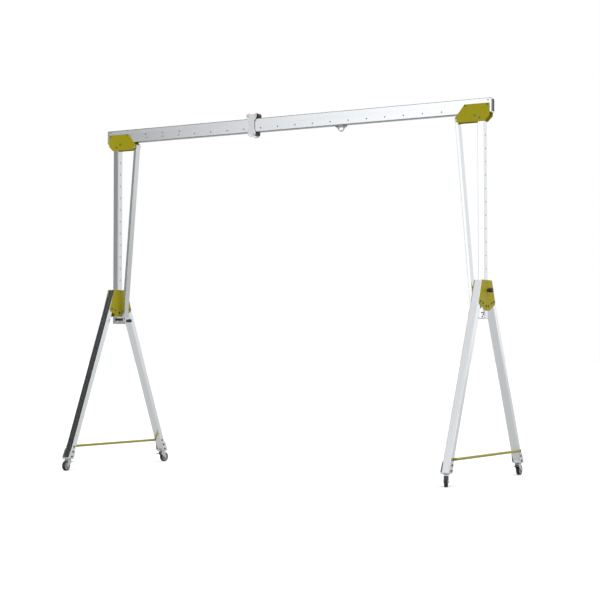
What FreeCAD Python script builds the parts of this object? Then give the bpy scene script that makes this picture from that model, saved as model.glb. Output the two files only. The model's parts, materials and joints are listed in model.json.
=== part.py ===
import FreeCAD, Part
import math
import os
from FreeCAD import Vector

# Portable aluminium gantry crane.  Millimetres, +Z up, X along the beam.
# The origin is on the floor, midway between the two leg frames.

# ---- span and heights ------------------------------------------------------
POST_SPACING = 4200.0        # between the centres of the two posts
POST_LENGTH = 1907.0
LEG_TOP_Z = 1857.0

# ---- beam ------------------------------------------------------------------
BEAM_OVERHANG = 106.0        # past the centre of each post
BEAM_WIDTH = 75.0
BEAM_HEIGHT = 140.0
BEAM_WALL = 5.0
BEAM_CORNER = 9.0
BEAM_HOLE_PITCH = 200.0
BEAM_HOLE_DIAMETER = 13.0
BEAM_HOLE_LOW = 40.0         # long row above the underside
BEAM_HOLE_HIGH = 77.0        # short row near the left end, above the underside
BEAM_HIGH_PITCH = 215.0
BEAM_HIGH_STATION = 1        # station that the short row is centred on
BEAM_HIGH_COUNT = 3
END_CAP_THICKNESS = 4.0
END_CAP_PLUG = 22.0
CAP_CLEARANCE = 0.3

# ---- posts and their locating holes ----------------------------------------
POST_WIDTH = 63.0            # along X
POST_WALL = 4.0
POST_CORNER = 4.0
POST_HOLE_DIAMETER = 14.0
POST_HOLE_PITCH = 125.0
POST_HOLE_TOP = 200.0        # least distance from the top of the post to a hole
POST_PLATE_GAP = 6.0         # between the post and each knee plate

# ---- struts ----------------------------------------------------------------
STRUT_WIDTH = 32.0           # along X
STRUT_SIDE_GAP = 5.0         # between the strut and each bracket plate
STRUT_WALL = 3.0
STRUT_END_WALL = 5.0
STRUT_TOP_INSET = 248.0      # strut pin inboard of the post centre, at the beam
STRUT_FOOT_INSET = 97.0      # strut centre inboard of the post centre, at the foot
STRUT_PIN_DROP = 50.0        # strut pin below the underside of the beam
STRUT_TOP_LIFT = 24.0        # top of the strut above its pin
STRUT_PIN_DIAMETER = 12.0
STRUT_PIN_HEAD = 6.0
STRUT_PIN_HEAD_DIAMETER = 20.0
PIN_CLEARANCE = 0.3

# ---- brackets that join beam, post and strut -------------------------------
PLATE = 5.0
BRACKET_ABOVE = 92.0         # above the underside of the beam
BRACKET_BELOW = 76.0         # below the underside of the beam
BRACKET_OUTER = 90.0         # outboard of the post centre
BRACKET_TOP_INNER = 162.0    # inboard of the post centre, at the top edge
BRACKET_NOSE = 263.0         # inboard of the post centre, at the strut
BRACKET_NOSE_Z = -32.0       # nose against the underside of the beam
BRACKET_NOSE_FACE = 27.0     # height of the nose's steep face
BRACKET_NOSE_LEAN = 6.0
BRACKET_NOSE_CUT = 32.0
BRACKET_OUTER_CUT = 50.0
BRACKET_CORNER = 7.0

# ---- foot blocks of the posts ----------------------------------------------
BLOCK_BASE = 8.0
BLOCK_HEIGHT = 56.0          # above the underside of the post
BLOCK_INNER = 133.0          # inboard of the post centre
BLOCK_CORNER = 6.0
HAND_KNOB_RADIUS = 18.0
HAND_KNOB_LENGTH = 42.0
HAND_KNOB_NECK = 9.0
HAND_KNOB_NECK_LENGTH = 10.0
KNOB_ROUND = 4.0

# ---- legs ------------------------------------------------------------------
LEG_DEPTH = 56.0             # square to the slope
LEG_WALL = 4.0
LEG_END_WALL = 5.0
LEG_POST_CLEARANCE = 5.5     # between leg and post at the top of the leg
LEG_FOOT_Y = 823.0           # centre line of the leg where it meets its foot

# ---- knee plates -----------------------------------------------------------
KNEE_TOP_HALF = 112.0
KNEE_WIDE_HALF = 186.0
KNEE_WIDE_DROP = 202.0       # widest level below the top of the legs
KNEE_SHOULDER_HALF = 178.0
KNEE_SHOULDER_DROP = 226.0
KNEE_TIP_HALF = 48.0
KNEE_TIP_DROP = 284.0
KNEE_BLOCK_GAP = 11.0        # above the foot block of the raised post
KNEE_CORNER = 8.0
LOCK_HOLE_DROP = 22.0        # pin hole below the top of the legs
LOCK_KNOB_DROP = 95.0        # clamp knob below the top of the legs
LOCK_SHANK_RADIUS = 8.0
LOCK_TIP_GAP = 0.4
LOCK_COLLAR_RADIUS = 14.0
LOCK_COLLAR_LENGTH = 14.0
LOCK_GRIP_RADIUS = 21.0
LOCK_GRIP_LENGTH = 40.0
LOCK_GRIP_LOBES = 6
LOCK_GRIP_LOBE_RADIUS = 5.0
RUNNING_GAP = 0.5

# ---- tie bars --------------------------------------------------------------
TIE_FOOT_GAP = 3.0           # above the foot brackets
TIE_BAR_DIAMETER = 25.0
TIE_TAB_THICKNESS = 8.0
TIE_TAB_HEIGHT = 26.0
TIE_TAB_OVERHANG = 24.0      # past the centre line of the leg
TIE_TAB_INNER = 46.0         # inside the centre line of the leg
TIE_TAB_FLAT = 2.0           # left straight between the tab's round corners

# ---- foot brackets ---------------------------------------------------------
FOOT_PLATE = 6.0
FOOT_SIDE_HEIGHT = 92.0
FOOT_SIDE_OUTER = 52.0       # outside the centre line of the leg, at the base
FOOT_SIDE_INNER = 44.0
FOOT_TOP_OUTER = 40.0
FOOT_TOP_INNER = 24.0
FOOT_CORNER = 7.0

# ---- casters ---------------------------------------------------------------
WHEEL_RADIUS = 50.0
TYRE_WIDTH = 32.0
TYRE_THICKNESS = 13.0
TYRE_SHOULDER = 6.0
HUB_WIDTH = 34.0
HUB_BOSS_RADIUS = 14.0
HUB_RIM = 5.0
HUB_WEB = 14.0
AXLE_RADIUS = 5.0
AXLE_HEAD_RADIUS = 8.0
AXLE_HEAD = 4.0
SWIVEL_TRAIL = 30.0
SWIVEL_OUTSET = 4.0          # swivel axis outside the leg's centre line
CASTER_PLATE = 6.0
CASTER_PLATE_X = 78.0
CASTER_PLATE_Y = 84.0
CASTER_PLATE_CORNER = 6.0
WHEEL_CROWN_GAP = 5.5        # tyre to fork
KINGPIN_RADIUS = 6.0
RACE_RADIUS = 23.0
RACE_HEIGHT = 8.0
FORK_CROWN = 4.0
FORK_CHEEK = 4.0
FORK_GAP = 2.5               # hub to cheek
FORK_CROWN_HALF = 26.0
FORK_FOOT_RADIUS = 12.0
PEDAL_PIVOT_AHEAD = 4.0      # in front of the wheel
PEDAL_PIVOT_DROP = 12.0      # below the top of the wheel
PEDAL_PIN_RADIUS = 3.0
PEDAL_BARREL_RADIUS = 6.0
PEDAL_THICKNESS = 5.0
PEDAL_REACH = 46.0
PEDAL_DROP = 5.0
PEDAL_SIDE_GAP = 1.0
PEDAL_SHOE = 9.0

# ---- trolley ---------------------------------------------------------------
TROLLEY_X = -400.0
TROLLEY_TOP_HALF = 60.0      # half lengths of the side plate: over the wheels,
TROLLEY_WAIST_HALF = 32.0    # beside the beam,
TROLLEY_FOOT_HALF = 46.0     # and round the roller
TROLLEY_LOBE = 15.0          # step in height from one half length to the next
TROLLEY_FOOT_CUT = 26.0
TROLLEY_SIDE_GAP = 8.0       # beam to side plate
TROLLEY_ABOVE = 44.0         # side plates above the top of the beam
TROLLEY_BELOW = 48.0         # side plates below the underside of the beam
TROLLEY_ROUND = 10.0
TROLLEY_WHEEL_RADIUS = 26.0
TROLLEY_WHEEL_SIDE_GAP = 13.5
TROLLEY_WHEEL_OFFSET = 45.0
TROLLEY_ROLLER_RADIUS = 16.0
TROLLEY_ROLLER_OFFSET = 26.0
TROLLEY_ROLLER_GAP = 2.0
TROLLEY_ROLLER_ROUND = 2.0
TROLLEY_PIN_RADIUS = 6.0
TROLLEY_PIN_HEAD_RADIUS = 9.5
TROLLEY_PIN_OUTSIDE = 5.0
TROLLEY_EYE_RADIUS = 8.0
TROLLEY_EYE_OFFSET = -16.0
TROLLEY_EYE_DROP = 29.0      # below the underside of the beam

# ---- anchor eye ------------------------------------------------------------
ANCHOR_X = 603.0
ANCHOR_BASE_LENGTH = 120.0
ANCHOR_BASE_WIDTH = 56.0
ANCHOR_BASE = 6.0
ANCHOR_BASE_CORNER = 8.0
ANCHOR_THICKNESS = 18.0
ANCHOR_TOP_LENGTH = 104.0
ANCHOR_RING_RADIUS = 27.0
ANCHOR_HOLE_RADIUS = 15.0
ANCHOR_HOLE_SPREAD = 12.0    # half the straight length of the slotted eye
ANCHOR_DROP = 34.0           # centre of the hole below the beam

# ---- worked-out sizes and places -------------------------------------------
BEAM_LENGTH = POST_SPACING + 2 * BEAM_OVERHANG
STRUT_DEPTH = BEAM_WIDTH - 2 * STRUT_SIDE_GAP
LEG_WIDTH = POST_WIDTH + 2 * POST_PLATE_GAP
TROLLEY_WHEEL_WIDTH = BEAM_WIDTH + 2 * (TROLLEY_SIDE_GAP - TROLLEY_WHEEL_SIDE_GAP)
CASTER_HEIGHT = 2 * WHEEL_RADIUS + WHEEL_CROWN_GAP + FORK_CROWN + RACE_HEIGHT + RUNNING_GAP + CASTER_PLATE
PEDAL_PIVOT_Y = WHEEL_RADIUS - SWIVEL_TRAIL + PEDAL_PIVOT_AHEAD
PEDAL_PIVOT_Z = 2 * WHEEL_RADIUS - PEDAL_PIVOT_DROP
POST_FOOT_Z = LEG_TOP_Z - KNEE_TIP_DROP - KNEE_BLOCK_GAP - BLOCK_HEIGHT
POST_TOP_Z = POST_FOOT_Z + POST_LENGTH
BEAM_TOP_Z = POST_TOP_Z + BEAM_HEIGHT
LEG_FOOT_Z = CASTER_HEIGHT + FOOT_PLATE
TIE_BAR_Z = LEG_FOOT_Z + FOOT_SIDE_HEIGHT + TIE_FOOT_GAP + TIE_TAB_HEIGHT / 2
LOCK_HOLE_Z = LEG_TOP_Z - LOCK_HOLE_DROP
KNOB_Z = LEG_TOP_Z - LOCK_KNOB_DROP
SIDES = (("left", -1), ("right", 1))
ENDS = (("front", -1), ("rear", 1))
CASTER_HEADINGS = {          # how far each caster stands swivelled, degrees
    ("left", "front"): 0.0,
    ("right", "front"): 20.0,
    ("left", "rear"): -12.0,
    ("right", "rear"): 0.0,
}


def leg_slope():
    """Tangent of the leg's angle from the vertical, and its centre Y at the top."""
    rise = LEG_TOP_Z - LEG_FOOT_Z
    top_inner = BEAM_WIDTH / 2 + LEG_POST_CLEARANCE
    tangent = 0.4
    for _ in range(20):
        top_centre = top_inner + LEG_DEPTH / 2 * math.sqrt(1 + tangent ** 2)
        tangent = (LEG_FOOT_Y - top_centre) / rise
    return tangent, top_centre


LEG_TANGENT, LEG_TOP_Y = leg_slope()
LEG_HALF_Y = LEG_DEPTH / 2 * math.sqrt(1 + LEG_TANGENT ** 2)


def leg_y(z):
    """Distance of the leg's centre line from the middle, at height z."""
    return LEG_TOP_Y + (LEG_TOP_Z - z) * LEG_TANGENT


# ---- shape helpers ---------------------------------------------------------
def box(x0, x1, y0, y1, z0, z1):
    """Box between two corners, given in any order along each axis."""
    low = Vector(min(x0, x1), min(y0, y1), min(z0, z1))
    return Part.makeBox(abs(x1 - x0), abs(y1 - y0), abs(z1 - z0), low)


def centred_box(x, y, z0, size_x, size_y, size_z):
    return box(x - size_x / 2, x + size_x / 2, y - size_y / 2, y + size_y / 2, z0, z0 + size_z)


def cylinder(radius, start, direction, length):
    return Part.makeCylinder(radius, length, Vector(*start), Vector(*direction))


def along_x(radius, x0, x1, y, z):
    return cylinder(radius, (min(x0, x1), y, z), (1, 0, 0), abs(x1 - x0))


def along_y(radius, y0, y1, x, z):
    return cylinder(radius, (x, min(y0, y1), z), (0, 1, 0), abs(y1 - y0))


def along_z(radius, z0, z1, x, y):
    return cylinder(radius, (x, y, min(z0, z1)), (0, 0, 1), abs(z1 - z0))


def extruded(points, direction):
    """Prism on a closed outline of 3-D points."""
    vectors = [Vector(*point) for point in points]
    wire = Part.makePolygon(vectors + [vectors[0]])
    return Part.Face(wire).extrude(Vector(*direction))


def round_edges(shape, radius, axis):
    """Fillet every straight edge that runs along one axis."""
    chosen = []
    for edge in shape.Edges:
        if not isinstance(edge.Curve, Part.Line):
            continue
        run = edge.Vertexes[1].Point.sub(edge.Vertexes[0].Point)
        if abs(abs(run.normalize().dot(axis)) - 1) < 1e-6:
            chosen.append(edge)
    return shape.makeFillet(radius, chosen)


def round_rims(shape, radius):
    """Fillet both circular rims of a cylinder."""
    return shape.makeFillet(radius, [edge for edge in shape.Edges if isinstance(edge.Curve, Part.Circle)])


AXIS_X = Vector(1, 0, 0)
AXIS_Y = Vector(0, 1, 0)
AXIS_Z = Vector(0, 0, 1)


def save(name, *solids):
    shape = solids[0] if len(solids) == 1 else Part.makeCompound(list(solids))
    shape.exportStep("parts/" + name + ".step")


# ---- beam ------------------------------------------------------------------
def beam_hole_places():
    """(X, height above the underside) of every cross hole: a long row and a short one."""
    reach = POST_SPACING / 2 - BRACKET_NOSE
    stations = 2 * math.floor(reach / BEAM_HOLE_PITCH + 0.5)
    first = -(stations - 1) / 2 * BEAM_HOLE_PITCH
    places = [(first + i * BEAM_HOLE_PITCH, BEAM_HOLE_LOW) for i in range(stations)]
    middle = first + BEAM_HIGH_STATION * BEAM_HOLE_PITCH
    for i in range(BEAM_HIGH_COUNT):
        offset = (i - (BEAM_HIGH_COUNT - 1) / 2) * BEAM_HIGH_PITCH
        places.append((middle + offset, BEAM_HOLE_HIGH))
    return places


def make_beam():
    half = BEAM_LENGTH / 2
    outer = box(-half, half, -BEAM_WIDTH / 2, BEAM_WIDTH / 2, POST_TOP_Z, BEAM_TOP_Z)
    outer = round_edges(outer, BEAM_CORNER, AXIS_X)
    inner_half = BEAM_WIDTH / 2 - BEAM_WALL
    inner = box(-half, half, -inner_half, inner_half, POST_TOP_Z + BEAM_WALL, BEAM_TOP_Z - BEAM_WALL)
    inner = round_edges(inner, BEAM_CORNER - BEAM_WALL, AXIS_X)
    holes = []
    for x, lift in beam_hole_places():
        holes.append(along_y(BEAM_HOLE_DIAMETER / 2, -BEAM_WIDTH, BEAM_WIDTH, x, POST_TOP_Z + lift))
    return outer.cut(inner).cut(Part.makeCompound(holes))


def make_end_cap(side):
    """Cover over one end of the beam, with a plug that fills its mouth."""
    face = side * BEAM_LENGTH / 2
    half = BEAM_WIDTH / 2
    cover = box(face, face + side * END_CAP_THICKNESS, -half, half, POST_TOP_Z, BEAM_TOP_Z)
    cover = round_edges(cover, BEAM_CORNER, AXIS_X)
    inset = BEAM_WALL + CAP_CLEARANCE
    plug_half = half - inset
    plug_tip = face - side * END_CAP_PLUG
    plug = box(face, plug_tip, -plug_half, plug_half, POST_TOP_Z + inset, BEAM_TOP_Z - inset)
    plug = round_edges(plug, BEAM_CORNER - BEAM_WALL, AXIS_X)
    return cover.fuse(plug).removeSplitter()


# ---- end brackets ----------------------------------------------------------
def make_bracket_plate(side, end):
    """Plate over the beam, the top of the post and the top of the strut."""
    centre = side * POST_SPACING / 2
    face = end * BEAM_WIDTH / 2
    top = POST_TOP_Z + BRACKET_ABOVE
    bottom = POST_TOP_Z - BRACKET_BELOW
    nose = POST_TOP_Z + BRACKET_NOSE_Z
    outline = [
        (BRACKET_OUTER, top),
        (-BRACKET_TOP_INNER, top),
        (-BRACKET_NOSE, nose),
        (-BRACKET_NOSE + BRACKET_NOSE_LEAN, nose - BRACKET_NOSE_FACE),
        (-BRACKET_NOSE + BRACKET_NOSE_CUT, bottom),
        (BRACKET_OUTER - BRACKET_OUTER_CUT, bottom),
        (BRACKET_OUTER, bottom + BRACKET_OUTER_CUT),
    ]
    points = [(centre + side * x, face, z) for x, z in outline]
    plate = extruded(points, (0, end * PLATE, 0))
    plate = round_edges(plate, BRACKET_CORNER, AXIS_Y)
    x, z = strut_pin_place(side)
    radius = STRUT_PIN_DIAMETER / 2 + PIN_CLEARANCE
    return plate.cut(along_y(radius, face - PLATE * 2, face + PLATE * 2, x, z))


# ---- posts, foot blocks and struts -----------------------------------------
def post_hole_heights():
    """Holes of the post from the one that meets the knee plates' pin hole upwards."""
    count = 1 + math.floor((POST_TOP_Z - POST_HOLE_TOP - LOCK_HOLE_Z) / POST_HOLE_PITCH)
    return [LOCK_HOLE_Z + i * POST_HOLE_PITCH for i in range(count)]


def make_post(side):
    centre = side * POST_SPACING / 2
    outer = centred_box(centre, 0, POST_FOOT_Z, POST_WIDTH, BEAM_WIDTH, POST_LENGTH)
    outer = round_edges(outer, POST_CORNER, AXIS_Z)
    inner = centred_box(
        centre, 0, POST_FOOT_Z, POST_WIDTH - 2 * POST_WALL, BEAM_WIDTH - 2 * POST_WALL, POST_LENGTH
    )
    holes = []
    for z in post_hole_heights():
        holes.append(along_x(POST_HOLE_DIAMETER / 2, centre - POST_WIDTH, centre + POST_WIDTH, 0, z))
    return outer.cut(inner).cut(Part.makeCompound(holes))


def make_foot_block(side):
    """Base under the post, with the seat of the strut inboard of it."""
    centre = side * POST_SPACING / 2
    outboard = centre + side * POST_WIDTH / 2
    inboard = centre - side * BLOCK_INNER
    half = BEAM_WIDTH / 2
    base = box(outboard, inboard, -half, half, POST_FOOT_Z - BLOCK_BASE, POST_FOOT_Z)
    seat = box(centre - side * POST_WIDTH / 2, inboard, -half, half, POST_FOOT_Z, POST_FOOT_Z + BLOCK_HEIGHT)
    block = base.fuse(seat).removeSplitter()
    corners = []
    for edge in block.Edges:
        ends = [vertex.Point for vertex in edge.Vertexes]
        if len(ends) == 2 and all(abs(point.x - inboard) < 1e-6 for point in ends):
            if abs(ends[0].z - ends[1].z) > 1:
                corners.append(edge)
    return block.makeFillet(BLOCK_CORNER, corners)


def strut_pin_place(side):
    centre = side * POST_SPACING / 2
    return centre - side * STRUT_TOP_INSET, POST_TOP_Z - STRUT_PIN_DROP


def strut_outline(side, half_width, foot_lift, top_drop):
    """Four corners of the strut in the X-Z plane, with its ends cut level."""
    centre = side * POST_SPACING / 2
    pin_x, pin_z = strut_pin_place(side)
    foot_x = centre - side * STRUT_FOOT_INSET
    foot_z = POST_FOOT_Z + BLOCK_HEIGHT
    slope = (pin_x - foot_x) / (pin_z - foot_z)
    low = foot_z + foot_lift
    high = pin_z + STRUT_TOP_LIFT - top_drop
    shift = half_width * math.sqrt(1 + slope ** 2)
    low_x = foot_x + (low - foot_z) * slope
    high_x = foot_x + (high - foot_z) * slope
    return [
        (low_x - shift, low),
        (low_x + shift, low),
        (high_x + shift, high),
        (high_x - shift, high),
    ]


def make_strut(side):
    half = STRUT_DEPTH / 2
    outer_outline = strut_outline(side, STRUT_WIDTH / 2, 0, 0)
    outer = extruded([(x, -half, z) for x, z in outer_outline], (0, STRUT_DEPTH, 0))
    inner_half = half - STRUT_WALL
    inner_outline = strut_outline(side, STRUT_WIDTH / 2 - STRUT_WALL, STRUT_END_WALL, STRUT_END_WALL)
    inner = extruded([(x, -inner_half, z) for x, z in inner_outline], (0, 2 * inner_half, 0))
    x, z = strut_pin_place(side)
    pin_hole = along_y(STRUT_PIN_DIAMETER / 2 + PIN_CLEARANCE, -half, half, x, z)
    return outer.cut(inner).cut(pin_hole)


def make_strut_pin(side):
    """Headed pin through both bracket plates and the top of the strut."""
    x, z = strut_pin_place(side)
    outside = BEAM_WIDTH / 2 + PLATE
    shank = along_y(STRUT_PIN_DIAMETER / 2, -outside, outside, x, z)
    head = along_y(STRUT_PIN_HEAD_DIAMETER / 2, -outside, -outside - STRUT_PIN_HEAD, x, z)
    tail = along_y(STRUT_PIN_HEAD_DIAMETER / 2, outside, outside + STRUT_PIN_HEAD, x, z)
    return shank.fuse([head, tail]).removeSplitter()


def make_hand_knob(side):
    """Black knob on the inboard end of a foot block; only the left block has one."""
    inboard = side * (POST_SPACING / 2 - BLOCK_INNER)
    z = POST_FOOT_Z + BLOCK_HEIGHT / 2 - BLOCK_BASE / 2
    neck_end = inboard - side * HAND_KNOB_NECK_LENGTH
    tip = inboard - side * HAND_KNOB_LENGTH
    neck = along_x(HAND_KNOB_NECK, inboard, neck_end, 0, z)
    grip = along_x(HAND_KNOB_RADIUS, neck_end, tip, 0, z)
    grip = round_rims(grip, KNOB_ROUND)
    return neck.fuse(grip).removeSplitter()


# ---- leg frames ------------------------------------------------------------
def make_leg(side, end):
    centre = side * POST_SPACING / 2
    half_x = LEG_WIDTH / 2
    outer = extruded(leg_outline(centre - half_x, end, LEG_HALF_Y, 0), (LEG_WIDTH, 0, 0))
    wall_y = LEG_WALL * math.sqrt(1 + LEG_TANGENT ** 2)
    inner_x = centre - half_x + LEG_WALL
    inner = extruded(
        leg_outline(inner_x, end, LEG_HALF_Y - wall_y, LEG_END_WALL), (LEG_WIDTH - 2 * LEG_WALL, 0, 0)
    )
    return outer.cut(inner)


def leg_outline(x, end, half_y, inset):
    """Corners of a leg's side view, its ends cut level and moved in by inset."""
    corners = []
    for z, sign in (
        (LEG_FOOT_Z + inset, -1),
        (LEG_FOOT_Z + inset, 1),
        (LEG_TOP_Z - inset, 1),
        (LEG_TOP_Z - inset, -1),
    ):
        corners.append((x, end * (leg_y(z) + sign * half_y), z))
    return corners


def make_knee_plate(side, outward):
    """Plate on one face of the two legs; the post slides between a pair of them."""
    face = side * POST_SPACING / 2 + outward * LEG_WIDTH / 2
    half_outline = [
        (KNEE_TOP_HALF, 0),
        (KNEE_WIDE_HALF, KNEE_WIDE_DROP),
        (KNEE_SHOULDER_HALF, KNEE_SHOULDER_DROP),
        (KNEE_TIP_HALF, KNEE_TIP_DROP),
    ]
    outline = half_outline + [(-y, drop) for y, drop in reversed(half_outline)]
    plate = extruded([(face, y, LEG_TOP_Z - drop) for y, drop in outline], (outward * PLATE, 0, 0))
    plate = round_edges(plate, KNEE_CORNER, AXIS_X)
    pin_hole = along_x(POST_HOLE_DIAMETER / 2, face - 2 * PLATE, face + 2 * PLATE, 0, LOCK_HOLE_Z)
    plate = plate.cut(pin_hole)
    if outward == side:
        radius = LOCK_SHANK_RADIUS + PIN_CLEARANCE
        plate = plate.cut(along_x(radius, face - 2 * PLATE, face + 2 * PLATE, 0, KNOB_Z))
    return plate


def make_lock_knob(side):
    """Clamp knob: its shank passes the outer knee plate and bears on the post."""
    centre = side * POST_SPACING / 2
    tip = centre + side * (POST_WIDTH / 2 + LOCK_TIP_GAP)
    plate_face = centre + side * (LEG_WIDTH / 2 + PLATE + RUNNING_GAP)
    collar_end = plate_face + side * LOCK_COLLAR_LENGTH
    grip_end = collar_end + side * LOCK_GRIP_LENGTH
    shank = along_x(LOCK_SHANK_RADIUS, tip, collar_end, 0, KNOB_Z)
    collar = along_x(LOCK_COLLAR_RADIUS, plate_face, collar_end, 0, KNOB_Z)
    grip = along_x(LOCK_GRIP_RADIUS, collar_end, grip_end, 0, KNOB_Z)
    grip = round_rims(grip, KNOB_ROUND)
    flutes = []
    reach = LOCK_GRIP_RADIUS + LOCK_GRIP_LOBE_RADIUS / 2
    for i in range(LOCK_GRIP_LOBES):
        angle = 2 * math.pi * i / LOCK_GRIP_LOBES
        y = reach * math.cos(angle)
        z = KNOB_Z + reach * math.sin(angle)
        flutes.append(along_x(LOCK_GRIP_LOBE_RADIUS, collar_end, grip_end, y, z))
    grip = grip.cut(Part.makeCompound(flutes))
    return shank.fuse([collar, grip]).removeSplitter()


def make_tie_bar(side):
    """Round bar on the outboard faces of the legs, flattened where it is bolted on."""
    face = side * (POST_SPACING / 2 + LEG_WIDTH / 2)
    tab_face = face + side * TIE_TAB_THICKNESS
    leg_centre = leg_y(TIE_BAR_Z)
    inner = leg_centre - TIE_TAB_INNER
    outer = leg_centre + TIE_TAB_OVERHANG
    half = TIE_TAB_HEIGHT / 2
    low = TIE_BAR_Z - half
    high = TIE_BAR_Z + half
    bar = along_y(TIE_BAR_DIAMETER / 2, -inner, inner, face + side * TIE_BAR_DIAMETER / 2, TIE_BAR_Z)
    tabs = []
    for _, end in ENDS:
        tab = box(face, tab_face, end * inner, end * outer, low, high)
        tabs.append(round_tab(tab, end * outer))
        tabs.append(box(face, tab_face, end * inner, end * (inner - half), low, high))
    return bar.fuse(tabs).removeSplitter()


def round_tab(tab, tip_y):
    """Round the two upright corners at the free end of a tab."""
    edges = []
    for edge in tab.Edges:
        ends = [vertex.Point for vertex in edge.Vertexes]
        across = abs(ends[0].x - ends[1].x) > 1
        if across and all(abs(point.y - tip_y) < 1e-6 for point in ends):
            edges.append(edge)
    return tab.makeFillet((TIE_TAB_HEIGHT - TIE_TAB_FLAT) / 2, edges)


# ---- feet and casters ------------------------------------------------------
def make_foot_bracket(side, end):
    """U-shaped foot: two side plates on the leg and a level base under it."""
    centre = side * POST_SPACING / 2
    base_y = leg_y(LEG_FOOT_Z)
    top_z = LEG_FOOT_Z + FOOT_SIDE_HEIGHT
    top_y = leg_y(top_z)
    outline = [
        (base_y - FOOT_SIDE_INNER, CASTER_HEIGHT),
        (base_y + FOOT_SIDE_OUTER, CASTER_HEIGHT),
        (top_y + FOOT_TOP_OUTER, top_z),
        (top_y - FOOT_TOP_INNER, top_z),
    ]
    solids = []
    for outward in (-1, 1):
        face = centre + outward * LEG_WIDTH / 2
        cheek = extruded([(face, end * y, z) for y, z in outline], (outward * PLATE, 0, 0))
        top_edges = []
        for edge in cheek.Edges:
            ends = [vertex.Point for vertex in edge.Vertexes]
            if abs(ends[0].x - ends[1].x) > 1 and abs(ends[0].z - top_z) < 1e-6:
                top_edges.append(edge)
        solids.append(cheek.makeFillet(FOOT_CORNER, top_edges))
    base = box(
        centre - LEG_WIDTH / 2, centre + LEG_WIDTH / 2, end * (base_y - FOOT_SIDE_INNER),
        end * (base_y + FOOT_SIDE_OUTER), CASTER_HEIGHT, LEG_FOOT_Z,
    )
    return base.fuse(solids).removeSplitter()


def caster_place(side, end):
    return Vector(side * POST_SPACING / 2, end * (LEG_FOOT_Y + SWIVEL_OUTSET), 0)


def place_caster_piece(shape, side_name, side, end_name, end):
    """Turn a piece drawn about the swivel axis, trailing to -Y, to its caster."""
    turned = shape.copy()
    heading = CASTER_HEADINGS[(side_name, end_name)]
    if end > 0:
        heading += 180.0
    turned.rotate(Vector(0, 0, 0), AXIS_Z, heading)
    turned.translate(caster_place(side, end))
    return turned


def make_caster_plate():
    """Fixed top plate of a caster, with the kingpin that the fork turns on."""
    under = CASTER_HEIGHT - CASTER_PLATE
    plate = centred_box(0, 0, under, CASTER_PLATE_X, CASTER_PLATE_Y, CASTER_PLATE)
    plate = round_edges(plate, CASTER_PLATE_CORNER, AXIS_Z)
    crown_under = under - RUNNING_GAP - RACE_HEIGHT - FORK_CROWN
    kingpin = along_z(KINGPIN_RADIUS, crown_under, under, 0, 0)
    return plate.fuse(kingpin).removeSplitter()


def make_fork():
    """Swivelling fork with its race, cheeks, axle and pedal pin."""
    race_top = CASTER_HEIGHT - CASTER_PLATE - RUNNING_GAP
    crown_top = race_top - RACE_HEIGHT
    crown_under = crown_top - FORK_CROWN
    cheek_in = HUB_WIDTH / 2 + FORK_GAP
    cheek_out = cheek_in + FORK_CHEEK
    race = along_z(RACE_RADIUS, crown_top, race_top, 0, 0)
    crown = centred_box(0, 0, crown_under, 2 * cheek_out, 2 * FORK_CROWN_HALF, FORK_CROWN)
    pieces = [crown]
    for hand in (-1, 1):
        outline = [
            (FORK_CROWN_HALF, crown_under),
            (-FORK_CROWN_HALF, crown_under),
            (-SWIVEL_TRAIL - FORK_FOOT_RADIUS, WHEEL_RADIUS),
            (-SWIVEL_TRAIL + FORK_FOOT_RADIUS, WHEEL_RADIUS - FORK_FOOT_RADIUS / 2),
            (PEDAL_PIVOT_Y + PEDAL_BARREL_RADIUS, PEDAL_PIVOT_Z - PEDAL_BARREL_RADIUS),
        ]
        cheek = extruded([(hand * cheek_in, y, z) for y, z in outline], (hand * FORK_CHEEK, 0, 0))
        boss = along_x(FORK_FOOT_RADIUS, hand * cheek_in, hand * cheek_out, -SWIVEL_TRAIL, WHEEL_RADIUS)
        head_end = hand * (cheek_out + AXLE_HEAD)
        head = along_x(AXLE_HEAD_RADIUS, hand * cheek_out, head_end, -SWIVEL_TRAIL, WHEEL_RADIUS)
        pieces += [cheek, boss, head]
    pieces.append(along_x(AXLE_RADIUS, -cheek_out, cheek_out, -SWIVEL_TRAIL, WHEEL_RADIUS))
    pieces.append(along_x(PEDAL_PIN_RADIUS, -cheek_out, cheek_out, PEDAL_PIVOT_Y, PEDAL_PIVOT_Z))
    fork = race.fuse(pieces).removeSplitter()
    return fork.cut(along_z(KINGPIN_RADIUS + PIN_CLEARANCE, 0, CASTER_HEIGHT, 0, 0)).removeSplitter()


def ring(profile):
    """Solid of revolution about the wheel's axle from (distance along axle, radius) points."""
    points = [Vector(x, -SWIVEL_TRAIL, WHEEL_RADIUS + r) for x, r in profile]
    face = Part.Face(Part.makePolygon(points + [points[0]]))
    return face.revolve(Vector(0, -SWIVEL_TRAIL, WHEEL_RADIUS), AXIS_X, 360)


def make_tyre():
    half = TYRE_WIDTH / 2
    inner = WHEEL_RADIUS - TYRE_THICKNESS
    return ring([
        (-half, inner),
        (-half, WHEEL_RADIUS - TYRE_SHOULDER),
        (-half + TYRE_SHOULDER, WHEEL_RADIUS),
        (half - TYRE_SHOULDER, WHEEL_RADIUS),
        (half, WHEEL_RADIUS - TYRE_SHOULDER),
        (half, inner),
    ])


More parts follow.
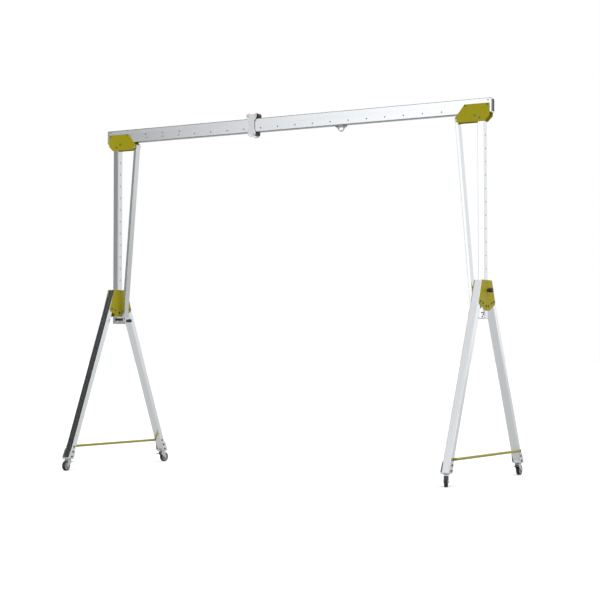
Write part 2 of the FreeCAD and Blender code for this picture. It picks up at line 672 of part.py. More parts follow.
def make_hub():
    """Rim, web and boss of the wheel, turned in one piece."""
    rim = WHEEL_RADIUS - TYRE_THICKNESS
    half = TYRE_WIDTH / 2
    boss = HUB_WIDTH / 2
    web = HUB_WEB / 2
    bore = AXLE_RADIUS + PIN_CLEARANCE
    return ring([
        (-boss, bore),
        (-boss, HUB_BOSS_RADIUS),
        (-web, HUB_BOSS_RADIUS),
        (-web, rim - HUB_RIM),
        (-half, rim - HUB_RIM),
        (-half, rim),
        (half, rim),
        (half, rim - HUB_RIM),
        (web, rim - HUB_RIM),
        (web, HUB_BOSS_RADIUS),
        (boss, HUB_BOSS_RADIUS),
        (boss, bore),
    ])


def make_pedal():
    """Brake pedal on its cross pin, with a foot plate and a short shoe."""
    half = HUB_WIDTH / 2 + FORK_GAP - PEDAL_SIDE_GAP
    barrel = along_x(PEDAL_BARREL_RADIUS, -half, half, PEDAL_PIVOT_Y, PEDAL_PIVOT_Z)
    tread = [
        (PEDAL_PIVOT_Y, PEDAL_PIVOT_Z),
        (PEDAL_PIVOT_Y + PEDAL_REACH, PEDAL_PIVOT_Z - PEDAL_DROP),
        (PEDAL_PIVOT_Y + PEDAL_REACH, PEDAL_PIVOT_Z - PEDAL_DROP + PEDAL_THICKNESS),
        (PEDAL_PIVOT_Y, PEDAL_PIVOT_Z + PEDAL_THICKNESS),
    ]
    plate = extruded([(-half, y, z) for y, z in tread], (2 * half, 0, 0))
    shoe = box(
        -half, half, PEDAL_PIVOT_Y - PEDAL_SHOE, PEDAL_PIVOT_Y, PEDAL_PIVOT_Z - PEDAL_THICKNESS / 2,
        PEDAL_PIVOT_Z + PEDAL_THICKNESS / 2,
    )
    pedal = barrel.fuse([plate, shoe]).removeSplitter()
    bore = along_x(PEDAL_PIN_RADIUS + PIN_CLEARANCE, -half, half, PEDAL_PIVOT_Y, PEDAL_PIVOT_Z)
    return pedal.cut(bore)


# ---- trolley ---------------------------------------------------------------
def trolley_axles():
    """(X, Z, radius) of the two running wheels above and the roller below."""
    wheel_z = BEAM_TOP_Z + TROLLEY_WHEEL_RADIUS + PIN_CLEARANCE
    roller_z = POST_TOP_Z - TROLLEY_ROLLER_RADIUS - TROLLEY_ROLLER_GAP
    return [
        (TROLLEY_X - TROLLEY_WHEEL_OFFSET, wheel_z, TROLLEY_WHEEL_RADIUS),
        (TROLLEY_X + TROLLEY_WHEEL_OFFSET, wheel_z, TROLLEY_WHEEL_RADIUS),
        (TROLLEY_X + TROLLEY_ROLLER_OFFSET, roller_z, TROLLEY_ROLLER_RADIUS),
    ]


def make_trolley_plate(end):
    near = end * (BEAM_WIDTH / 2 + TROLLEY_SIDE_GAP)
    bottom = POST_TOP_Z - TROLLEY_BELOW
    half_outline = [
        (TROLLEY_TOP_HALF, BEAM_TOP_Z + TROLLEY_ABOVE),
        (TROLLEY_TOP_HALF, BEAM_TOP_Z + TROLLEY_LOBE),
        (TROLLEY_WAIST_HALF, BEAM_TOP_Z - 2 * TROLLEY_LOBE),
        (TROLLEY_WAIST_HALF, POST_TOP_Z + 2 * TROLLEY_LOBE),
        (TROLLEY_FOOT_HALF, POST_TOP_Z + TROLLEY_LOBE),
        (TROLLEY_FOOT_HALF, bottom + TROLLEY_FOOT_CUT),
        (TROLLEY_FOOT_HALF - TROLLEY_FOOT_CUT, bottom),
    ]
    outline = half_outline + [(-x, z) for x, z in reversed(half_outline)]
    plate = extruded([(TROLLEY_X + x, near, z) for x, z in outline], (0, end * PLATE, 0))
    plate = round_edges(plate, TROLLEY_ROUND, AXIS_Y)
    holes = []
    for x, z, _ in trolley_axles():
        holes.append(along_y(TROLLEY_PIN_RADIUS + PIN_CLEARANCE, near - PLATE * 2, near + PLATE * 2, x, z))
    eye_x = TROLLEY_X + TROLLEY_EYE_OFFSET
    eye_z = POST_TOP_Z - TROLLEY_EYE_DROP
    holes.append(along_y(TROLLEY_EYE_RADIUS, near - PLATE * 2, near + PLATE * 2, eye_x, eye_z))
    return plate.cut(Part.makeCompound(holes))


def make_trolley_pins():
    reach = BEAM_WIDTH / 2 + TROLLEY_SIDE_GAP + PLATE
    pins = []
    for x, z, _ in trolley_axles():
        shank = along_y(TROLLEY_PIN_RADIUS, -reach, reach, x, z)
        heads = []
        for _, end in ENDS:
            tip = end * (reach + TROLLEY_PIN_OUTSIDE)
            heads.append(along_y(TROLLEY_PIN_HEAD_RADIUS, end * reach, tip, x, z))
        pins.append(shank.fuse(heads).removeSplitter())
    return pins


def make_trolley_roller(x, z, radius):
    half = TROLLEY_WHEEL_WIDTH / 2
    roller = along_y(radius, -half, half, x, z)
    roller = round_rims(roller, TROLLEY_ROLLER_ROUND)
    return roller.cut(along_y(TROLLEY_PIN_RADIUS + PIN_CLEARANCE, -half, half, x, z))


# ---- anchor eye ------------------------------------------------------------
def make_anchor_eye():
    """Eye plate under the beam: a base and a tapering lug with a round eye."""
    base_under = POST_TOP_Z - ANCHOR_BASE
    base = centred_box(ANCHOR_X, 0, base_under, ANCHOR_BASE_LENGTH, ANCHOR_BASE_WIDTH, ANCHOR_BASE)
    base = round_edges(base, ANCHOR_BASE_CORNER, AXIS_Z)
    eye_z = POST_TOP_Z - ANCHOR_DROP
    half = ANCHOR_THICKNESS / 2
    span = ANCHOR_TOP_LENGTH / 2
    distance = math.hypot(span, base_under - eye_z)
    bearing = math.atan2(base_under - eye_z, span)
    touch = bearing - math.acos(ANCHOR_RING_RADIUS / distance)
    tangent_x = ANCHOR_RING_RADIUS * math.cos(touch)
    tangent_z = ANCHOR_RING_RADIUS * math.sin(touch)
    outline = [
        (ANCHOR_X - span, -half, base_under),
        (ANCHOR_X + span, -half, base_under),
        (ANCHOR_X + tangent_x, -half, eye_z + tangent_z),
        (ANCHOR_X - tangent_x, -half, eye_z + tangent_z),
    ]
    lug = extruded(outline, (0, ANCHOR_THICKNESS, 0))
    boss = along_y(ANCHOR_RING_RADIUS, -half, half, ANCHOR_X, eye_z)
    spread = 2 * ANCHOR_HOLE_SPREAD
    height = 2 * ANCHOR_HOLE_RADIUS
    slot = centred_box(ANCHOR_X, 0, eye_z - ANCHOR_HOLE_RADIUS, spread, ANCHOR_THICKNESS, height)
    rounds = []
    for hand in (-1, 1):
        rounds.append(along_y(ANCHOR_HOLE_RADIUS, -half, half, ANCHOR_X + hand * ANCHOR_HOLE_SPREAD, eye_z))
    return base.fuse([lug, boss]).removeSplitter().cut(slot.fuse(rounds).removeSplitter())


# ---- everything ------------------------------------------------------------
def build_portal():
    save("beam", make_beam())
    save("beam_end_caps", make_end_cap(-1), make_end_cap(1))
    save("strut_pins", make_strut_pin(-1), make_strut_pin(1))
    save("foot_block_knob", make_hand_knob(-1))
    save("anchor_eye", make_anchor_eye())
    for side_name, side in SIDES:
        save("post_" + side_name, make_post(side))
        save("foot_block_" + side_name, make_foot_block(side))
        save("strut_" + side_name, make_strut(side))
        for end_name, end in ENDS:
            save("bracket_plate_" + side_name + "_" + end_name, make_bracket_plate(side, end))


def build_leg_frames():
    for side_name, side in SIDES:
        save("knee_plate_" + side_name + "_outer", make_knee_plate(side, side))
        save("knee_plate_" + side_name + "_inner", make_knee_plate(side, -side))
        save("lock_knob_" + side_name, make_lock_knob(side))
        save("tie_bar_" + side_name, make_tie_bar(side))
        save("foot_brackets_" + side_name, *[make_foot_bracket(side, end) for _, end in ENDS])
        for end_name, end in ENDS:
            save("leg_" + side_name + "_" + end_name, make_leg(side, end))


def build_casters():
    plate = make_caster_plate()
    moving = {
        "fork": make_fork(),
        "tyre": make_tyre(),
        "wheel": make_hub(),
        "pedal": make_pedal(),
    }
    for side_name, side in SIDES:
        plates = []
        for end_name, end in ENDS:
            fixed = plate.copy()
            fixed.translate(caster_place(side, end))
            plates.append(fixed)
            for piece, shape in moving.items():
                placed = place_caster_piece(shape, side_name, side, end_name, end)
                save(piece + "_" + side_name + "_" + end_name, placed)
        save("caster_plates_" + side_name, *plates)


def build_trolley():
    for end_name, end in ENDS:
        save("trolley_plate_" + end_name, make_trolley_plate(end))
    save("trolley_pins", *make_trolley_pins())
    for name, (x, z, radius) in zip(("wheel_left", "wheel_right", "roller_low"), trolley_axles()):
        save("trolley_" + name, make_trolley_roller(x, z, radius))


os.makedirs("parts", exist_ok=True)
build_portal()
build_leg_frames()
build_casters()
build_trolley()
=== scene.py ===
import json
import math

import bmesh
import bpy
from mathutils import Matrix, Vector


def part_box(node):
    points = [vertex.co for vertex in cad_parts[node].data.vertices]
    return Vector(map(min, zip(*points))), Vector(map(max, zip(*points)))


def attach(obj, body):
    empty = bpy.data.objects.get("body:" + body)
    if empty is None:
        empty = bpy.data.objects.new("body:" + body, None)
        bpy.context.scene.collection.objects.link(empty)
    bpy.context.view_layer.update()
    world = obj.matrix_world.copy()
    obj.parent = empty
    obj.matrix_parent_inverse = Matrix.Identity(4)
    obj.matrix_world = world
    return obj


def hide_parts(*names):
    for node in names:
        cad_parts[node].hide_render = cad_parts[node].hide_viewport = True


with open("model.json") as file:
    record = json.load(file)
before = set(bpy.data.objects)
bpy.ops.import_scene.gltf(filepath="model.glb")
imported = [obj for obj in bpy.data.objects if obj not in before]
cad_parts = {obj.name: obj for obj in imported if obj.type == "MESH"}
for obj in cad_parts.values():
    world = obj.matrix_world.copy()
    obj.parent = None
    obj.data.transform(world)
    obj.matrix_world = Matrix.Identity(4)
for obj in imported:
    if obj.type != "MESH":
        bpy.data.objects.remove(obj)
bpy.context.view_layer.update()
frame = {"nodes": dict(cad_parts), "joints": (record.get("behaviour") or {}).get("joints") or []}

SIDES = (("left", -1), ("right", 1))
ENDS = (("front", -1), ("rear", 1))
POST_X = 2.1
LEG_SLOPE = math.atan2(0.756, 1.727)     # legs lean this far from upright
joints = {j["name"]: j for j in frame["joints"]}
scene = bpy.context.scene


# ---- node helpers ----------------------------------------------------------

def node(tree, kind, inputs=None, **settings):
    """One shader node; an input is a socket to link or a plain value."""
    made = tree.nodes.new("ShaderNode" + kind)
    for name, value in settings.items():
        setattr(made, name, value)
    for key, value in (inputs or {}).items():
        if isinstance(value, bpy.types.NodeSocket):
            tree.links.new(value, made.inputs[key])
        else:
            made.inputs[key].default_value = value
    return made


def maths(tree, operation, *values):
    """The output of one Math node."""
    return node(tree, "Math", dict(enumerate(values)), operation=operation).outputs[0]


def remap(tree, value, low, high, to_low, to_high):
    """The output of a Map Range node, which is held within its new range."""
    keys = ("Value", "From Min", "From Max", "To Min", "To Max")
    return node(tree, "MapRange", dict(zip(keys, (value, low, high, to_low, to_high)))).outputs[0]


def blend_colour(tree, factor, first, second):
    """first where factor is 0 and second where it is 1; each is a socket or a colour."""
    made = node(tree, "Mix", {0: factor}, data_type="RGBA")
    for socket, value in ((made.inputs[6], first), (made.inputs[7], second)):
        if isinstance(value, bpy.types.NodeSocket):
            tree.links.new(value, socket)
        else:
            socket.default_value = value
    return made.outputs[2]


def noise(tree, vector, scale, detail):
    return node(tree, "TexNoise", {"Vector": vector, "Scale": scale, "Detail": detail}).outputs[0]


def hollow_shade_mask(tree, where, half_x, half_y, from_x, low_z, high_z):
    """1 inside a box that stands at X = from_x and, mirrored, at X = -from_x, and 0 outside it: where painted
    shade goes.
    """
    x, y, z = node(tree, "SeparateXYZ", {0: where}).outputs
    off_centre = maths(tree, "SUBTRACT", maths(tree, "ABSOLUTE", x), from_x)
    mask = maths(tree, "LESS_THAN", maths(tree, "ABSOLUTE", off_centre), half_x)
    for test in (
        maths(tree, "LESS_THAN", maths(tree, "ABSOLUTE", y), half_y),
        maths(tree, "GREATER_THAN", z, low_z),
        maths(tree, "LESS_THAN", z, high_z),
    ):
        mask = maths(tree, "MULTIPLY", mask, test)
    return mask


def true_normal(tree):
    return node(tree, "NewGeometry").outputs["Normal"]


def new_material(name):
    """A new material, its node tree and its main shader."""
    made = bpy.data.materials.new(name)
    made.use_nodes = True
    tree = made.node_tree
    return made, tree, next(n for n in tree.nodes if n.type == "BSDF_PRINCIPLED")


def rgba(colour, factor=1.0):
    """A colour with its alpha, made lighter or darker by factor."""
    return tuple(min(1.0, c * factor) for c in colour) + (1.0,)


DRIFT_SCALE = 2.2                        # slow drift of tone and roughness
ROUGHNESS_SPAN = (0.3, 0.7)              # drift levels between which the roughness changes
GRAIN_SPAN = (0.35, 0.75)                # grain levels between which the colour darkens
GRAIN_SHARE = 0.35
GRAIN_TONE = 1.6                         # how dark grain is, in units of tone
SPECKLE_SCALE = 55.0
SPECKLE_SPAN = (0.6, 0.72)
SPECKLE_SHARE = 0.5
# Painted shade on faces that look down:
UNDERSIDE_SHADE_SPAN = (-0.3, -0.8)                # upward part of a normal, from unshaded to full painted shade
UNDERSIDE_SHADE_TONE = 0.30
WORN_SPAN = (0.985, 0.9)                 # how well rounded and true normals agree, from plain to worn
WORN_PATCHES = (0.35, 0.6, 0.35, 1.0)    # two drift levels, then the share of wear at each
BUMP_STRENGTH = 0.8
BEVEL_SAMPLES = 4


def finish_material(
    name, colour, metal=0.0, rough=0.5, spread=0.08, grain=(1, 1, 1), turn=0.0, tone=0.08, fine=300.0,
    depth=0.0001, edge=None, edge_amount=0.5, rim=0.0012, gloss=0.5, speckle=None, hollow_shade=None,
    hollow_shade_tone=0.02, underside_shade=0.0,
):
    """A procedural finish: tone and roughness drift, fine grain as bump, rounded and worn edges.

    spread is how far the roughness drifts from rough, and tone how far the colour does.
    grain stretches the texture along each axis, so small numbers run the lines that way.
    turn leans the texture about X. fine is the scale of the grain and depth its height.
    edge is the colour worn onto corners, edge_amount how far, and rim the radius that rounds them.
    speckle is the colour of small dots.
    hollow_shade is the half width, half depth, X, lowest and highest Z of a hollow, darkened to
    hollow_shade_tone as painted shade.
    underside_shade is how far faces that look down are darkened with painted shade.
    """
    made, tree, shader = new_material(name)
    where = node(tree, "TexCoord").outputs["Object"]
    leaned = node(tree, "Mapping", {"Vector": where, "Rotation": (turn, 0, 0)}).outputs[0]
    streaks = node(tree, "Mapping", {"Vector": leaned, "Scale": grain}).outputs[0]
    drift = noise(tree, streaks, DRIFT_SCALE, 4.0)
    lines = noise(tree, streaks, fine, 2.0)
    colour_now = blend_colour(tree, drift, rgba(colour, 1 - tone), rgba(colour, 1 + tone))
    dark = remap(tree, lines, *GRAIN_SPAN, 0.0, GRAIN_SHARE)
    colour_now = blend_colour(tree, dark, colour_now, rgba(colour, 1 - GRAIN_TONE * tone))
    if speckle:
        dots = remap(tree, noise(tree, leaned, SPECKLE_SCALE, 5.0), *SPECKLE_SPAN, 0.0, SPECKLE_SHARE)
        colour_now = blend_colour(tree, dots, colour_now, rgba(speckle))
    # Painted shade: the inside of a hollow is darkened, standing in for the shade that falls in it.
    if hollow_shade:
        colour_now = blend_colour(tree, hollow_shade_mask(tree, where, *hollow_shade), colour_now, rgba((hollow_shade_tone,) * 3))
    # Painted shade: faces that look down are darkened, standing in for the shade under the part.
    if underside_shade:
        upward = node(tree, "SeparateXYZ", {0: true_normal(tree)}).outputs[2]
        underside_shade_mask = remap(tree, upward, *UNDERSIDE_SHADE_SPAN, 0.0, underside_shade)
        colour_now = blend_colour(tree, underside_shade_mask, colour_now, rgba(colour, UNDERSIDE_SHADE_TONE))
    soft = node(tree, "Bevel", {"Radius": rim}, samples=BEVEL_SAMPLES).outputs[0]
    if edge:
        agreement = node(tree, "VectorMath", {0: soft, 1: true_normal(tree)}, operation="DOT_PRODUCT")
        worn = remap(tree, agreement.outputs["Value"], *WORN_SPAN, 0.0, edge_amount)
        worn = maths(tree, "MULTIPLY", worn, remap(tree, drift, *WORN_PATCHES))
        colour_now = blend_colour(tree, worn, colour_now, rgba(edge))
    bump = {"Strength": BUMP_STRENGTH, "Distance": depth, "Height": lines, "Normal": soft}
    roughness = remap(tree, drift, *ROUGHNESS_SPAN, rough - spread, rough + spread)
    tree.links.new(colour_now, shader.inputs["Base Color"])
    tree.links.new(roughness, shader.inputs["Roughness"])
    tree.links.new(node(tree, "Bump", bump).outputs[0], shader.inputs["Normal"])
    shader.inputs["Metallic"].default_value = metal
    shader.inputs["Specular IOR Level"].default_value = gloss
    return made


# ---- finishes --------------------------------------------------------------

ALUMINIUM = (0.875, 0.90, 0.92)
POST_ALUMINIUM = (0.80, 0.82, 0.835)
CUT_EDGE = (0.42, 0.43, 0.44)            # sawn ends and drilled rims, dulled
# Painted shade: the beam's hollow inside is darkened, and so are its faces that look down.
beam_finish = finish_material(
    "drawn_aluminium_beam", ALUMINIUM, 1.0, 0.25, 0.03, (0.3, 14, 14), tone=0.025, fine=26.0, depth=0.00007,
    edge=CUT_EDGE, edge_amount=0.8, rim=0.0008, hollow_shade=(2.2055, 0.0366, 0.0, 3.4145, 3.5515), underside_shade=0.8,
)
# Painted shade: the post's hollow inside is darkened.
post_finish = finish_material(
    "drawn_aluminium_post", POST_ALUMINIUM, 1.0, 0.14, 0.02, (14, 14, 0.3), tone=0.03, fine=26.0, depth=0.00005,
    edge=CUT_EDGE, edge_amount=0.8, rim=0.0008, hollow_shade=(0.0306, 0.0366, POST_X, 1.507, 3.412),
)
strut_finish = finish_material(
    "drawn_aluminium_strut", (0.74, 0.76, 0.78), 1.0, 0.12, 0.02, (14, 14, 0.3), tone=0.03, fine=26.0,
    depth=0.00005, rim=0.006,
)
leg_finishes = {}
for end_name, end in ENDS:
    leg_finishes[end_name] = finish_material(
        "drawn_aluminium_leg_" + end_name, ALUMINIUM, 1.0, 0.17, 0.03, (14, 14, 0.3), turn=-end * LEG_SLOPE,
        tone=0.03, fine=26.0, depth=0.00005, rim=0.006,
    )
cast_finish = finish_material(
    "machined_aluminium", (0.70, 0.71, 0.73), 1.0, 0.38, 0.06, (3, 3, 3), tone=0.06, fine=60.0, depth=0.0002,
    edge=(0.85, 0.86, 0.87), rim=0.002,
)
# Painted shade: the inside of the foot brackets is darkened.
bracket_finish = finish_material(
    "welded_aluminium", (0.74, 0.75, 0.77), 1.0, 0.36, 0.07, (2, 2, 5), tone=0.07, fine=50.0, depth=0.00015,
    edge=(0.86, 0.87, 0.88), rim=0.002, hollow_shade=(0.0385, 1.0, POST_X, 0.133, 0.3), hollow_shade_tone=0.10,
)
yellow_finish = finish_material(
    "olive_powder_coat", (0.36, 0.315, 0.004), 0.0, 0.50, 0.06, (1, 1, 1), tone=0.10, fine=420.0,
    depth=0.0003, edge=(0.52, 0.47, 0.08), edge_amount=0.6, rim=0.0014, gloss=0.18,
)
tie_finish = finish_material(
    "pale_yellow_coat", (0.31, 0.285, 0.035), 0.0, 0.45, 0.06, (1, 0.4, 1), tone=0.12, fine=320.0,
    depth=0.0003, edge=(0.5, 0.47, 0.18), rim=0.0014, gloss=0.25,
)
black_finish = finish_material(
    "black_moulding", (0.018, 0.018, 0.020), 0.0, 0.46, 0.08, (1, 1, 1), tone=0.2, fine=500.0, depth=0.0003,
    edge=(0.06, 0.06, 0.065), rim=0.001,
)
zinc_finish = finish_material(
    "bright_zinc", (0.62, 0.63, 0.65), 1.0, 0.30, 0.08, (4, 4, 4), tone=0.10, fine=120.0, depth=0.00015,
    edge=(0.75, 0.76, 0.78), rim=0.001, speckle=(0.50, 0.50, 0.49),
)
dark_steel = finish_material(
    "dark_plated_steel", (0.16, 0.16, 0.17), 1.0, 0.34, 0.08, (4, 4, 4), tone=0.15, fine=160.0, depth=0.00015,
    edge=(0.45, 0.45, 0.46), rim=0.0008,
)
eye_finish = finish_material(
    "forged_steel", (0.46, 0.46, 0.47), 1.0, 0.36, 0.08, (5, 5, 5), tone=0.12, fine=70.0, depth=0.0004,
    edge=(0.66, 0.66, 0.67), rim=0.0015, speckle=(0.36, 0.36, 0.36),
)
trolley_finish = finish_material(
    "trolley_zinc_plate", (0.84, 0.86, 0.88), 1.0, 0.30, 0.06, (3, 3, 9), tone=0.08, fine=60.0,
    depth=0.00015, edge=(0.82, 0.83, 0.84), rim=0.0014,
)
nylon_finish = finish_material(
    "black_nylon", (0.014, 0.014, 0.015), 0.0, 0.38, 0.08, (1, 1, 1), tone=0.2, fine=260.0, depth=0.0003,
    edge=(0.05, 0.05, 0.052), rim=0.0012,
)
rubber_finish = finish_material(
    "tyre_rubber", (0.016, 0.016, 0.017), 0.0, 0.62, 0.10, (1, 1, 1), tone=0.25, fine=380.0, depth=0.0004,
    edge=(0.045, 0.044, 0.043), rim=0.0012, speckle=(0.035, 0.033, 0.031),
)
hub_finish = finish_material(
    "grey_hub_plastic", (0.46, 0.45, 0.45), 0.0, 0.45, 0.07, (1, 1, 1), tone=0.10, fine=300.0, depth=0.0002,
    edge=(0.58, 0.58, 0.58), rim=0.0008,
)
pedal_finish = finish_material(
    "red_brown_pedal", (0.22, 0.085, 0.06), 0.0, 0.42, 0.07, (1, 1, 1), tone=0.14, fine=320.0, depth=0.0002,
    edge=(0.45, 0.36, 0.32), edge_amount=0.8, rim=0.001,
)


def paint(obj, material):
    """Puts one material in every slot."""
    if not obj.material_slots:
        obj.data.materials.append(material)
    for slot in obj.material_slots:
        slot.material = material


# The first start that fits a node's name gives its finish.
FINISH_STARTS = (
    ("beam_end_caps", black_finish), ("beam", beam_finish), ("post_", post_finish), ("strut_pins", zinc_finish),
    ("strut_", strut_finish), ("foot_block_knob", black_finish), ("lock_knob", black_finish),
    ("foot_block", cast_finish), ("foot_brackets", bracket_finish), ("bracket_plate", yellow_finish),
    ("knee_plate", yellow_finish), ("tie_bar", tie_finish), ("anchor_eye", eye_finish),
    ("caster_plates", zinc_finish), ("fork_", zinc_finish), ("trolley_pins", zinc_finish),
    ("pedal_", pedal_finish), ("tyre_", rubber_finish), ("wheel_", hub_finish),
    ("trolley_plate", trolley_finish), ("trolley_wheel", nylon_finish), ("trolley_roller", nylon_finish),
)


def finish_of(name):
    if name.startswith("leg_"):
        return leg_finishes[name.rsplit("_", 1)[1]]
    for start, material in FINISH_STARTS:
        if name.startswith(start):
            return material
    raise ValueError(name)


for name, obj in frame["nodes"].items():
    paint(obj, finish_of(name))


# ---- meshes ----------------------------------------------------------------

SUNK = 0.0002                            # how far washers, screws and races are sunk in a surface
WASHER_RIM = 1.1                         # a bolt's measures, as shares of its thread
WASHER_HEIGHT = 0.16
HEAD_REACH = 0.8                         # from the middle to a flat
HEAD_HEIGHT = 0.62
SCREW_RIM = 0.85                         # and a screw's
SCREW_HEIGHT = 0.5
SHARP_ANGLE = 32                         # degrees between faces from which an edge is sharp


class Builder:
    """Collects many small closed shapes into one mesh."""

    def __init__(self):
        self.points = []
        self.faces = []

    def rings(self, rings, place, closed=True):
        """Joins rings of points, all of one length, with caps at either end or else last to first."""
        first = len(self.points)
        count = len(rings[0])
        for ring in rings:
            self.points += [place @ Vector(p) for p in ring]
        steps = len(rings) - 1 if closed else len(rings)
        for r in range(steps):
            a = first + r * count
            b = first + (r + 1) % len(rings) * count
            for i in range(count):
                j = (i + 1) % count
                self.faces.append((a + i, a + j, b + j, b + i))
        if closed:
            last = first + (len(rings) - 1) * count
            self.faces.append(tuple(first + i for i in reversed(range(count))))
            self.faces.append(tuple(last + i for i in range(count)))

    def turned(self, profile, place, sides=24):
        """A shape turned about local Z from (radius, height) pairs."""
        rings = []
        for radius, height in profile:
            steps = (2 * math.pi * i / sides for i in range(sides))
            rings.append([(radius * math.cos(a), radius * math.sin(a), height) for a in steps])
        self.rings(rings, place)

    def ring_turned(self, profile, place, sides):
        """A closed ring turned about local Z from a closed (radius, height) outline."""
        first = len(self.points)
        count = len(profile)
        for i in range(sides):
            a = 2 * math.pi * i / sides
            for radius, height in profile:
                self.points.append(place @ Vector((radius * math.cos(a), radius * math.sin(a), height)))
        for i in range(sides):
            a = first + i * count
            b = first + (i + 1) % sides * count
            for k in range(count):
                m = (k + 1) % count
                self.faces.append((a + k, b + k, b + m, a + m))

    def bolt(self, place, size, washer=True):
        """A hex head bolt on its washer: local Z points out of the surface, size is the thread's."""
        lift = 0.0
        if washer:
            lift = WASHER_HEIGHT * size
            rim = WASHER_RIM * size
            self.turned(((rim, -SUNK), (rim, 0.75 * lift), (0.94 * rim, lift), (0.5 * rim, lift)), place)
        flat = HEAD_REACH * size
        head = HEAD_HEIGHT * size
        rings = []
        for scale, height in ((1.0, 0.0), (1.0, 0.82 * head), (0.86, head), (0.55, head), (0.5, 0.9 * head)):
            ring = []
            for i in range(12):
                if scale < 1.0:
                    reach = flat
                else:
                    reach = flat / math.cos(math.pi / 6) if i % 2 else flat * 1.035
                a = math.pi * i / 6
                ring.append((scale * reach * math.cos(a), scale * reach * math.sin(a), lift + height))
            rings.append(ring)
        self.rings(rings, place)

    def screw(self, place, size):
        """A round socket screw."""
        rim = SCREW_RIM * size
        cap = SCREW_HEIGHT * size
        self.turned((
            (0.92 * rim, -SUNK), (rim, 0.12 * cap), (rim, 0.7 * cap), (0.8 * rim, 0.95 * cap),
            (0.55 * rim, cap), (0.42 * rim, cap), (0.40 * rim, 0.35 * cap),
        ), place)

    def block(self, low, high, place, rim=0.001):
        """A block with chamfered edges all round."""
        x0, y0, z0 = low
        x1, y1, z1 = high
        rings = []
        for inset, z in ((rim, z0), (0, z0 + rim), (0, z1 - rim), (rim, z1)):
            a, b, c, d = x0 + inset, x1 - inset, y0 + inset, y1 - inset
            ring = [(a + rim, c, z), (b - rim, c, z), (b, c + rim, z), (b, d - rim, z)]
            ring += [(b - rim, d, z), (a + rim, d, z), (a, d - rim, z), (a, c + rim, z)]
            rings.append(ring)
        self.rings(rings, place)

    def made(self, name, material, body, slot):
        """The collected mesh as one smooth piece, riding on a body, with its faces turned outward."""
        mesh = bpy.data.meshes.new(name)
        mesh.from_pydata(self.points, [], self.faces)
        shell = bmesh.new()
        shell.from_mesh(mesh)
        bmesh.ops.recalc_face_normals(shell, faces=shell.faces)
        shell.to_mesh(mesh)
        shell.free()
        mesh.materials.append(material)
        mesh.shade_smooth()
        mesh.set_sharp_from_angle(angle=math.radians(SHARP_ANGLE))
        obj = bpy.data.objects.new(name, mesh)
        scene.collection.objects.link(obj)
        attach(obj, body)
        return obj


def facing(point, direction):
    """A place whose local Z points along direction."""
    turn = Vector(direction).to_track_quat("Z", "Y").to_matrix().to_4x4()
    return Matrix.Translation(point) @ turn


# ---- bolts on the upper portal ---------------------------------------------

BRACKET_BOLTS = ((2.168, 3.493), (1.947, 3.495), (2.042, 3.399), (2.092, 3.373))     # X outward, and Z
BRACKET_BOLT_SIZE = 0.008
BLOCK_BOLTS = {
    "left": ((2.1215, 1.552), (2.1215, 1.524), (1.985, 1.553), (1.985, 1.507)),
    "right": ((2.104, 1.554), (2.122, 1.554), (2.122, 1.536), (2.107, 1.519), (1.985, 1.530)),
}
BLOCK_BOLT_SIZE = 0.007
BEAM_SCREW = (2.176, 3.532)
BEAM_SCREW_SIZE = 0.008
CAP_SCREWS_Y = (-0.017, 0.017)
CAP_SCREWS_Z = (3.440, 3.526)
CAP_SCREW_DROP = 0.0022                  # how far the cap's face lies inside its edge
CAP_SCREW_SIZE = 0.004

bolts = Builder()
screws = Builder()
plates_y = {end_name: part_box("bracket_plate_left_" + end_name) for end_name, _ in ENDS}
beam_low, beam_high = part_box("beam")
for side_name, side in SIDES:
    for end_name, end in ENDS:
        low, high = plates_y[end_name]
        face = low.y if end < 0 else high.y
        for x, z in BRACKET_BOLTS:
            bolts.bolt(facing((side * x, face, z), (0, end, 0)), BRACKET_BOLT_SIZE)
        face = beam_low.y if end < 0 else beam_high.y
        screws.screw(facing((side * BEAM_SCREW[0], face, BEAM_SCREW[1]), (0, end, 0)), BEAM_SCREW_SIZE)
    low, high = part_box("foot_block_" + side_name)
    for x, z in BLOCK_BOLTS[side_name]:
        bolts.bolt(facing((side * x, low.y, z), (0, -1, 0)), BLOCK_BOLT_SIZE)
        bolts.bolt(facing((side * x, high.y, z), (0, 1, 0)), BLOCK_BOLT_SIZE)
    cap_low, cap_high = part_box("beam_end_caps")
    outer = cap_low.x if side < 0 else cap_high.x
    for y in CAP_SCREWS_Y:
        for z in CAP_SCREWS_Z:
            screws.screw(facing((outer - side * CAP_SCREW_DROP, y, z), (side, 0, 0)), CAP_SCREW_SIZE)

RIM_OUTER = (0.0375, 0.070, 0.009)       # half width, half height and corner of the beam's end rims
RIM_INNER = (0.0265, 0.058, 0.006)
RIM_NEAR, RIM_FAR = 2.2085, 2.2104       # X outward
CORNER_STEPS = 6


def rounded_loop(half_y, half_z, corner):
    """Y and Z around a rectangle with rounded corners."""
    loop = []
    for k, (sign_y, sign_z) in enumerate(((1, 1), (-1, 1), (-1, -1), (1, -1))):
        for step in range(CORNER_STEPS + 1):
            a = math.pi / 2 * (k + step / CORNER_STEPS)
            y = sign_y * (half_y - corner) + corner * math.cos(a)
            z = sign_z * (half_z - corner) + corner * math.sin(a)
            loop.append((y, z))
    return loop


end_rims = Builder()
outer, inner = rounded_loop(*RIM_OUTER), rounded_loop(*RIM_INNER)
middle = Matrix.Translation((0, 0, (beam_low.z + beam_high.z) / 2))
for side_name, side in SIDES:
    near, far = side * RIM_NEAR, side * RIM_FAR
    order = ((near, outer), (far, outer), (far, inner), (near, inner))
    end_rims.rings([[(x, y, z) for y, z in loop] for x, loop in order], middle, closed=False)
end_rims.made("beam_end_rims", beam_finish, "portal", "aluminium")
bolts.made("portal_bolts", dark_steel, "portal", "eye_steel")
screws.made("portal_screws", dark_steel, "portal", "eye_steel")

